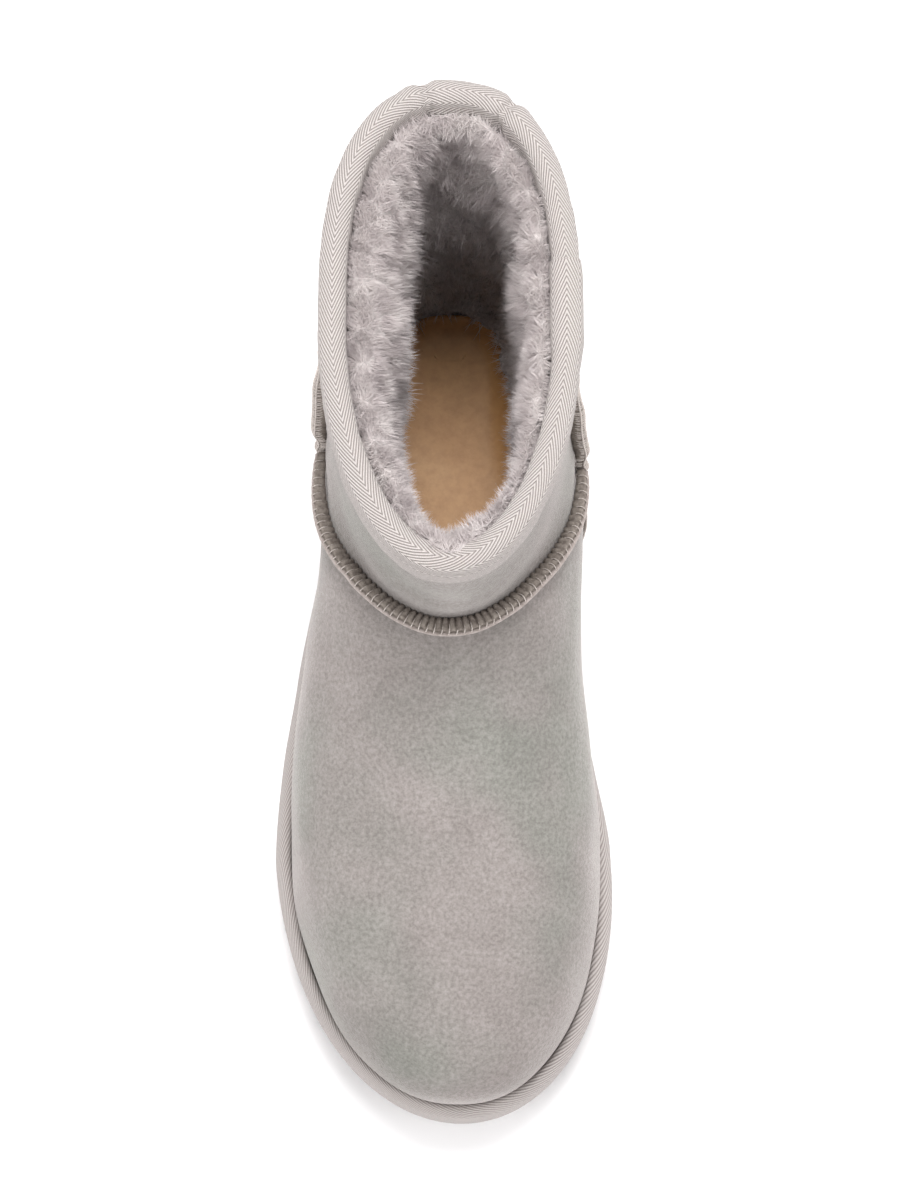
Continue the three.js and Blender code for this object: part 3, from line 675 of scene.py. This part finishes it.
def strip(name, rows, material):
    """a mesh over rows of an open section run along a path, closed at both ends"""
    count, wide = rows.shape[:2]
    faces = []
    for k in range(count - 1):
        for i in range(wide):
            j = (i + 1) % wide
            faces.append((k * wide + i, (k + 1) * wide + i, (k + 1) * wide + j, k * wide + j))
    faces.append(tuple(range(wide)))
    faces.append(tuple(reversed(range((count - 1) * wide, count * wide))))
    mesh = bpy.data.meshes.new(name)
    mesh.from_pydata(to_metres(rows).reshape(-1, 3).tolist(), [], faces)
    mesh.polygons.foreach_set("use_smooth", [True] * (len(faces) - 2) + [False] * 2)
    shape = bmesh.new()
    shape.from_mesh(mesh)
    bmesh.ops.recalc_face_normals(shape, faces=shape.faces)
    shape.to_mesh(mesh)
    shape.free()
    mesh.materials.append(material)
    return in_scene(name, mesh)


def rubbed(name, scale, detail, grit, stops, strength, depth, **gloss):
    """a material whose one fine unevenness gives both its colour and its relief"""
    material, tree = new_material(name)
    coords = add_node(tree, "ShaderNodeTexCoord").outputs["Object"]
    uneven = add_node(tree, "ShaderNodeTexNoise", Vector=coords, Scale=scale, Detail=detail,
                      Roughness=grit)
    colour = add_node(tree, "ShaderNodeValToRGB", {"stops": stops}, Fac=uneven)
    finish(tree, colour, uneven, strength, depth, **gloss)
    return material


# Cut sheepskin edge: rawer and darker than the face, with the grain of the cut showing.
edge_skin = rubbed(
    "cut_sheepskin_edge", 700.0, 4.0, 0.7, ((0.3, "#635b55"), (0.5, "#817871"), (0.7, "#989088")),
    0.6, 0.0004, Roughness=0.95, Specular_IOR_Level=0.2)

# Rolled edge: the vamp's own edge, turned over by the stitch, paler and pinker than the cut.
rolled_skin = rubbed(
    "rolled_suede_edge", 900.0, 4.0, 0.7, ((0.3, "#8d827c"), (0.5, "#a39893"), (0.7, "#b5aba6")),
    0.6, 0.0003, Roughness=0.95, Specular_IOR_Level=0.2, Sheen_Weight=0.2)

# Overlock thread: bonded polyester, pale and faintly glossy, with its twist just visible.
thread = rubbed(
    "bonded_overlock_thread", 2400.0, 2.0, 0.5, ((0.35, "#aaa09a"), (0.6, "#cec5bf")),
    0.4, 0.0001, Roughness=0.6, Specular_IOR_Level=0.35)

# The whipping: one open loop of thread at each stitch, stood across the seam.
stitch_tree, given = new_growth("overlock_stitches", (
    ("Half width", "Float"), ("Thread", "Float"), ("Material", "Material")))
loop_arc = add_node(stitch_tree, "GeometryNodeCurveArc", {"mode": "RADIUS"}, Resolution=10,
                    Radius=given["Half width"], Start_Angle=math.radians(-42),
                    Sweep_Angle=math.radians(264))
cord_round = add_node(stitch_tree, "GeometryNodeCurvePrimitiveCircle", Resolution=5,
                      Radius=given["Thread"])
loop_mesh = add_node(stitch_tree, "GeometryNodeCurveToMesh", Curve=loop_arc, Profile_Curve=cord_round,
                     Fill_Caps=True)
over = add_node(stitch_tree, "GeometryNodeInputNamedAttribute", {"data_type": "FLOAT_VECTOR"},
                Name="away")
way = add_node(stitch_tree, "GeometryNodeInputNamedAttribute", {"data_type": "FLOAT_VECTOR"},
               Name="way")
facing = add_node(stitch_tree, "FunctionNodeAxesToRotation",
                  {"primary_axis": "Z", "secondary_axis": "Y"}, Primary_Axis=way, Secondary_Axis=over)
loops = add_node(stitch_tree, "GeometryNodeInstanceOnPoints", Points=given["Geometry"],
                 Instance=loop_mesh, Rotation=facing)
loops = add_node(stitch_tree, "GeometryNodeRealizeInstances", Geometry=loops)
loops = add_node(stitch_tree, "GeometryNodeSetMaterial", Geometry=loops, Material=given["Material"])
add_node(stitch_tree, "NodeGroupOutput", Geometry=loops)


def seam_height(level):
    """share of its full height: a side seam is trodden flat below the vamp seam and dips at both ends"""
    waist = 1 - 0.5 * np.exp(-((level - 6.6) / 0.35) ** 2)
    return (0.25 + 0.75 * smooth(5.5, 6.4, level)) * (1 - 0.6 * smooth(9.0, 10.3, level)) * waist


def whipping(name, centres, away, way, reach, size):
    """the thread wrapped over a seam: a loop round each centre, of the given half width and thickness"""
    bed = bpy.data.meshes.new("bed")
    bed.from_pydata(to_metres(centres).tolist(), [], [])
    for label, values in (("away", away), ("way", way)):
        bed.attributes.new(label, "FLOAT_VECTOR", "POINT").data.foreach_set("vector", values.ravel())
    carrier = in_scene("bed", bed)
    made = grown(name, carrier, stitch_tree, {
        "Half width": reach / 1000, "Thread": size / 1000, "Material": thread})
    bpy.data.objects.remove(carrier)
    return made


def roll(name, middle, across, away, radius, material):
    """a round edge or chain along a seam; its radius may change from row to row"""
    ring = rings_of(8)
    tube = (middle[:, None] + radius[:, None, None] * np.cos(ring)[None, :, None] * across[:, None]
            + radius[:, None, None] * np.sin(ring)[None, :, None] * away[:, None])
    return strip(name, tube, material)


def raised_seam(node, path, pitch, size, seed):
    """one overlocked seam: ridge, whipping and the rolled edge or the two chains that lock it"""
    at_vamp = node == "vamp_seam"
    rough = seam_frames(path, 200)[0]
    length = np.linalg.norm(np.diff(rough, axis=0), axis=-1).sum()
    rows = int(length / pitch) * STITCH_ROWS + 1
    foot, along, across, away = seam_frames(path, rows)
    phase = np.arange(rows) / STITCH_ROWS * 2 * math.pi
    ends = np.sin(np.pi * np.linspace(0, 1, rows).clip(0.004, 0.996)) ** 0.12
    tall = ends if at_vamp else seam_height(path(np.linspace(0, 1, rows))[0])
    rng = np.random.default_rng(seed)
    knots = rng.normal(size=rows // WOBBLE_ROWS + 2)
    wobble = np.interp(np.arange(rows), np.arange(0, rows + WOBBLE_ROWS, WOBBLE_ROWS), knots) * WOBBLE

    plump = 1.0 - 0.12 * np.cos(phase)
    section = np.array(RIDGE_SECTION)
    pinch = np.where(section[None, :, 0] < 0, 1 - 0.42 * (0.5 + 0.5 * np.cos(phase[:, None])) ** 3, 1.0)
    over = section[None, :, 0] * SEAM_WIDE * plump[:, None] * pinch
    height = (SEAM_GAP - SEAM_SUNK
              + section[None, :, 1] * (SEAM_HIGH * tall * (0.94 + 0.06 * plump))[:, None])
    ridge = (foot[:, None] + wobble[:, None, None] * across[:, None]
             + over[..., None] * across[:, None] + height[..., None] * away[:, None])
    core = strip(node + "_edges", ridge, edge_skin)

    picks = np.arange(0, rows, STITCH_ROWS)
    lift = SEAM_GAP - WRAP_SUNK + WRAP_RISE * tall[picks, None]
    aside, reach = (0.45, 1.62) if at_vamp else (0.0, 1.68)
    centres = (foot[picks] + (aside + wobble[picks, None]) * across[picks]
               + (lift + 0.4 * aside) * away[picks])
    slant = along[picks] + (0.22 + 0.12 * rng.normal(size=len(picks)))[:, None] * across[picks]
    pieces = [core, whipping(node + "_whipping", centres, away[picks], slant, reach, size)]

    rolls = ((("_rolled_edge", 0.95, 3.1, 0.58, rolled_skin),) if at_vamp else
             (("_chain_a", -1.6, 2.4, 0.26, thread), ("_chain_b", 1.6, 2.4, 0.26, thread)))
    for suffix, aside, up, radius, material in rolls:
        middle = (foot + (aside + wobble)[:, None] * across
                  + (SEAM_GAP + up * tall + 0.12 * np.cos(phase))[:, None] * away)
        pieces.append(roll(node + suffix, middle, across, away, radius * (1 - 0.14 * np.cos(phase)),
                           material))
    for piece in pieces:
        piece.data.polygons.foreach_set("use_smooth", [True] * len(piece.data.polygons))
        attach(piece, "root")
    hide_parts(node)


def vamp_end(side):
    """the turn where the vamp seam meets a side seam"""
    turn = VAMP_END
    for _ in range(6):
        turn = float(turn_at_y(vamp_level(turn), SEAM_YS[side][1] - SEAM_WIDE / 2 - SEAM_CLEAR))
    return side * turn


def vamp_path(t):
    """level and turn along the vamp seam, from the outer end to the inner"""
    turn = vamp_end(1) + (vamp_end(-1) - vamp_end(1)) * t
    return vamp_level(turn), turn


def side_path(side):
    """level and turn up a side seam, from the sole to under the tape"""
    last = level_at_height(RIM - TAPE_DROP)

    def path(t):
        level = SEAM_FOOT + (last - SEAM_FOOT) * t
        return level, side * turn_at_y(level, through(SEAM_LEVELS, SEAM_YS[side], level))
    return path


raised_seam("vamp_seam", vamp_path, 2.3, 0.17, 11)
raised_seam("side_seam_lateral", side_path(1), 1.2, 0.32, 12)
raised_seam("side_seam_medial", side_path(-1), 1.2, 0.32, 13)

# ---------------------------------------------------------------------------
# Collar tape. A woven herringbone tape of cotton and polyester, about 25 mm wide, folded over the raw
# rim and sewn through. It puckers a little round the back, and its ends overlap on the inner side.
# ---------------------------------------------------------------------------

TAPE, TAPE_BELLY, TAPE_LAP, TAPE_JOINT, TAPE_STEPS = 1.1, 0.25, 0.8, -1.82, 420
TAPE_ENDS, TAPE_TURNS = 2.2, 2.0
PUCKERS = (
    # turn, width, height: short ripples across the tape, deepest on both sides of the back
    (2.996, 0.04, -1.2), (2.91, 0.07, 0.5), (3.09, 0.08, 0.45), (2.82, 0.05, -0.3),
    (-2.726, 0.04, -1.2), (-2.64, 0.07, 0.45), (-2.82, 0.08, 0.45), (2.2, 0.05, 0.25),
    (-2.1, 0.05, -0.3), (0.9, 0.06, 0.25), (-0.8, 0.06, -0.25), (0.25, 0.07, 0.25),
)
tape_turns = rings_of(TAPE_STEPS) + TAPE_JOINT


def tape_loop(level, distance, z=None):
    """a loop of the tape off the last, at the level's own height or at z"""
    p = off_last(np.full(TAPE_STEPS, float(level)), tape_turns, distance)
    if z is not None:
        p[:, 2] = z
    return p


def tape_section():
    """the tape's outer face from the bottom outside, over the rim, to the bottom inside, then back"""
    low, high = level_at_height(RIM - TAPE_DROP), level_at_height(RIM - TAPE_ENDS)
    face_rows, back_rows = [], []
    for s in np.linspace(0, 1, 7):
        v = low + (high - low) * s
        face_rows.append(tape_loop(v, GAP + TAPE + TAPE_BELLY * math.sin(math.pi * s)))
        back_rows.append(tape_loop(v, GAP))
    half = (RIM_WALL + 2 * GAP + 2 * TAPE) / 2
    centre = -RIM_WALL / 2
    for a in np.linspace(0, math.pi, 13):
        face_rows.append(tape_loop(COLLAR, centre + half * math.cos(a),
                                   RIM - TAPE_TURNS + (TAPE_TURNS + GAP + TAPE) * math.sin(a) ** 0.75))
        if 0 < a < math.pi:
            back_rows.append(tape_loop(COLLAR, centre + (half - TAPE) * math.cos(a), RIM + GAP))
    for s in np.linspace(0, 1, 6)[1:]:
        v = high + (low - high) * s
        inward = -wall_at(v) - GAP
        face_rows.append(tape_loop(v, inward - TAPE))
        back_rows.append(tape_loop(v, inward))
    return np.array(face_rows), np.array(back_rows[::-1])


tape_face, tape_back = tape_section()
around_tape = tape_turns[None, :]
rise = np.linspace(0, math.pi, len(tape_face))[:, None]
ripple = np.zeros((len(tape_face), TAPE_STEPS))
for centre, width, size in PUCKERS:
    gone = np.abs((around_tape - centre + math.pi) % (2 * math.pi) - math.pi)
    ripple += size * np.exp(-(gone / width) ** 2)
# the tape stands higher where its ends overlap
lap = TAPE_LAP * (1 - smooth(0.30, 0.42, around_tape - TAPE_JOINT))
out = last_normal(np.full(TAPE_STEPS, 10.9), tape_turns)
lean = np.cos(rise)[..., None] * out[None] + np.sin(rise)[..., None] * np.array([0, 0, 1.0])
tape_face = tape_face + (ripple + lap + 0.08 * waves(tape_face, (9, 6), 21))[..., None] * lean
tape = skin("collar_tape", np.concatenate([tape_face, tape_back]), wrap_rows=True, middle=13)

HERRINGBONE_COLUMN, HERRINGBONE_PITCH, HERRINGBONE_SLANT = 3.8, 1.9, -2.4


def ribbed_cloth(tree, uv, climb, pitch, stops, fuzz_low, fuzz):
    """the wave of a woven tape's ribs, the fuzz of its yarn, and the colour that they give together"""
    turns = add_node(tree, "ShaderNodeMath", {"operation": "MULTIPLY"}, i0=climb, i1=2 * math.pi / pitch)
    wave = add_node(tree, "ShaderNodeMath", {"operation": "SINE"}, i0=turns)
    rib = add_node(tree, "ShaderNodeMath", {"operation": "MULTIPLY_ADD"}, i0=wave, i1=0.5, i2=0.5)
    yarn = add_node(tree, "ShaderNodeTexNoise", Vector=uv, Scale=2600.0, Detail=3.0)
    rib_colour = add_node(tree, "ShaderNodeValToRGB", {"stops": stops}, Fac=rib)
    fuzz_colour = add_node(tree, "ShaderNodeValToRGB", {"stops": ((0.3, fuzz_low), (0.6, "#ffffff"))},
                           Fac=yarn)
    woven = add_node(tree, "ShaderNodeMix", {"data_type": "RGBA", "blend_type": "MULTIPLY"}, i0=fuzz,
                     i6=rib_colour, i7=fuzz_colour)
    return rib, yarn, woven.outputs[2]


# Herringbone weave: thick pale warp ribs that change slant every 4 mm, so each column of slants meets
# the next in a point; the grooves between ribs read as darker lines about 0.7 mm apart.
herringbone, tree = new_material("herringbone_cotton_tape")
uv = add_node(tree, "ShaderNodeUVMap", {"uv_map": "along"})
parts = add_node(tree, "ShaderNodeSeparateXYZ", Vector=uv)
noise = add_node(tree, "ShaderNodeTexNoise", Vector=uv, Scale=120.0, Detail=2.0)
unsteady = add_node(tree, "ShaderNodeMath", {"operation": "MULTIPLY_ADD"}, i0=noise, i1=0.0007,
                    i2=-0.00035)
column = add_node(tree, "ShaderNodeMath", {"operation": "PINGPONG"}, i0=parts.outputs[1],
                  i1=HERRINGBONE_COLUMN / 1000)
slanted = add_node(tree, "ShaderNodeMath", {"operation": "MULTIPLY"}, i0=column, i1=HERRINGBONE_SLANT)
climb = add_node(tree, "ShaderNodeMath", {"operation": "ADD"}, i0=parts, i1=slanted)
climb = add_node(tree, "ShaderNodeMath", {"operation": "ADD"}, i0=climb, i1=unsteady)
rib, yarn, woven = ribbed_cloth(
    tree, uv, climb, HERRINGBONE_PITCH / 1000,
    ((0.04, "#857e7a"), (0.32, "#aea7a4"), (0.55, "#cac3c0")), "#c9c1be", 0.45)
relief = add_node(tree, "ShaderNodeMath", {"operation": "MULTIPLY_ADD"}, i0=yarn, i1=0.35, i2=rib)
finish(tree, woven, relief, 0.8, 0.00035, Roughness=0.9, Specular_IOR_Level=0.25, Sheen_Weight=0.1)
tape.data.materials.append(herringbone)
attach(tape, "root")
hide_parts("collar_binding")

# ---------------------------------------------------------------------------
# Outsole. One moulding of foam rubber, grey like the suede, with a toe spring, a low heel, a lifted
# arch and zigzag grooves; its shape comes from the frame, and only its surface is added here.
# ---------------------------------------------------------------------------

# Moulded foam rubber: a closed matt skin with the fine pebble of the mould and faint flow marks.
foam, tree = new_material("moulded_foam_rubber")
coords = add_node(tree, "ShaderNodeTexCoord").outputs["Object"]
pebble = add_node(tree, "ShaderNodeTexVoronoi", Vector=coords, Scale=1100.0)
flow = add_node(tree, "ShaderNodeTexNoise", Vector=coords, Scale=40.0, Detail=3.0)
foam_colour = add_node(tree, "ShaderNodeValToRGB", Fac=flow, settings={
    "stops": ((0.3, "#9b948f"), (0.7, "#aca5a0"))})
finish(tree, foam_colour, pebble, 0.35, 0.0002, Roughness=0.75, Specular_IOR_Level=0.35)
for piece_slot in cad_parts["outsole"].material_slots:
    piece_slot.material = foam

# ---------------------------------------------------------------------------
# Band round the sole. A strip of the same cotton in a plain twill, glued over the sole's shoulder and
# down its side, close against the suede, with a soft rounded shoulder where it turns down.
# ---------------------------------------------------------------------------

BAND_WALL, BAND_DROP, BAND_LIP, BAND_ROUND, BAND_STEPS = 1.3, 11.0, 3.4, 1.7, 420
band_turns = rings_of(BAND_STEPS)


def band_edge(inset, lift):
    """a loop of the band, that far inside the sole's edge and above its top"""
    p = outline(band_turns, inset)
    return np.column_stack([p, sole_top(p[:, 1]) + lift])


def beside_suede(lift):
    """a loop of the band close against the upper"""
    level = max(0.0, lift - GAP) / 9
    p = off_last(np.full(BAND_STEPS, level), band_turns, GAP + 0.1)
    p[:, 2] = sole_top(p[:, 1]) + lift
    return p


lip, corner = beside_suede(BAND_LIP), band_edge(0, 0)
rows = [band_edge(BAND_WALL, GAP), beside_suede(GAP), lip]
for t in np.linspace(0.12, 0.88, 7):
    p = lip * (1 - t) + corner * t
    p[:, 2] += BAND_ROUND * math.sin(math.pi * t) ** 0.8
    rows.append(p)
rows.append(corner)
rows += [band_edge(0.0, -BAND_DROP * s) for s in np.linspace(0.15, 1, 6)]
rows.append(band_edge(BAND_WALL, -BAND_DROP))
band_grid = np.array(rows)
band_grid[3:12] += (0.10 * waves(band_grid[3:12], (14, 9), 31))[..., None] * np.array([0, 0, 1.0])
band = skin("sole_band", band_grid, wrap_rows=True, outward=False)

# Twill: diagonal ribs about 0.9 mm apart that run almost along the band.
TWILL_PITCH, TWILL_SLANT = 0.9, 0.4
twill, tree = new_material("cotton_twill_tape")
uv = add_node(tree, "ShaderNodeUVMap", {"uv_map": "along"})
parts = add_node(tree, "ShaderNodeSeparateXYZ", Vector=uv)
slanted = add_node(tree, "ShaderNodeMath", {"operation": "MULTIPLY"}, i0=parts, i1=TWILL_SLANT)
climb = add_node(tree, "ShaderNodeMath", {"operation": "ADD"}, i0=parts.outputs[1], i1=slanted)
rib, yarn, woven = ribbed_cloth(
    tree, uv, climb, TWILL_PITCH / 1000,
    ((0.1, "#918a87"), (0.5, "#aba4a1"), (0.85, "#bab3b0")), "#cdc5c2", 0.4)
finish(tree, woven, rib, 0.6, 0.00025, Roughness=0.9, Specular_IOR_Level=0.25, Sheen_Weight=0.1)
band.data.materials.append(twill)
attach(band, "root")
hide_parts("sole_binding")

# ---------------------------------------------------------------------------
# Footbed. A board covered in smooth tan leather, moulded up round the heel, dropped in on the sole so
# that the wool closes over its edge all round.
# ---------------------------------------------------------------------------

UPPER_INSET, INSOLE_ROOM = 5.3, 0.5
INSOLE_INSET = UPPER_INSET + WALL + INSOLE_ROOM
INSOLE_THICK, INSOLE_CUP, CUP_FROM, CUP_TO = 4.0, 4.0, 40, 100
INSOLE_PROFILE = (
    # further in from its edge, height, and share of the heel's cup
    (0.6, 0, 0), (0, 1, 0), (0, INSOLE_THICK - 1.2, 1), (0.35, INSOLE_THICK - 0.3, 1),
    (1.2, INSOLE_THICK, 1), (2.4, INSOLE_THICK, 0.78), (4, INSOLE_THICK, 0.42),
    (6, INSOLE_THICK, 0.15), (8, INSOLE_THICK, 0.03), (11, INSOLE_THICK, 0),
    (14, INSOLE_THICK - 0.1, 0),
)
footbed_turns = rings_of(200)
rows = []
for more, lift, share in INSOLE_PROFILE:
    p = outline(footbed_turns, INSOLE_INSET + more)
    z = sole_top(p[:, 1]) + GAP + lift + share * INSOLE_CUP * smooth(CUP_FROM, CUP_TO, p[:, 1])
    rows.append(np.column_stack([p, z]))
footbed = skin("tan_footbed", np.array(rows), caps=True, outward=True)

# Vegetable-tanned leather: warm tan, smooth with a fine pore grain and a low polish, darker in
# cloudy patches where feet and finish have soaked in.
tan, tree = new_material("vegetable_tanned_leather")
coords = add_node(tree, "ShaderNodeTexCoord").outputs["Object"]
stain = add_node(tree, "ShaderNodeTexNoise", Vector=coords, Scale=28.0, Detail=5.0, Roughness=0.6,
                 Distortion=0.4)
pores = add_node(tree, "ShaderNodeTexVoronoi", Vector=coords, Scale=950.0)
streak = add_node(tree, "ShaderNodeTexNoise", Vector=coords, Scale=260.0, Detail=4.0, Roughness=0.7)
tan_colour = add_node(tree, "ShaderNodeValToRGB", Fac=stain, settings={
    "stops": ((0.3, "#b38553"), (0.5, "#c3925f"), (0.7, "#cfa06e"))})
streak_colour = add_node(tree, "ShaderNodeValToRGB", Fac=streak, settings={
    "stops": ((0.3, "#dcd2c6"), (0.6, "#ffffff"))})
tanned = add_node(tree, "ShaderNodeMix", {"data_type": "RGBA", "blend_type": "MULTIPLY"}, i0=0.5,
                  i6=tan_colour, i7=streak_colour)
grain_up = add_node(tree, "ShaderNodeMath", {"operation": "ADD"}, i0=pores, i1=streak)
finish(tree, tanned.outputs[2], grain_up, 0.25, 0.0002, Roughness=0.5, Specular_IOR_Level=0.4)
footbed.data.materials.append(tan)
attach(footbed, "root")
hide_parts("insole")
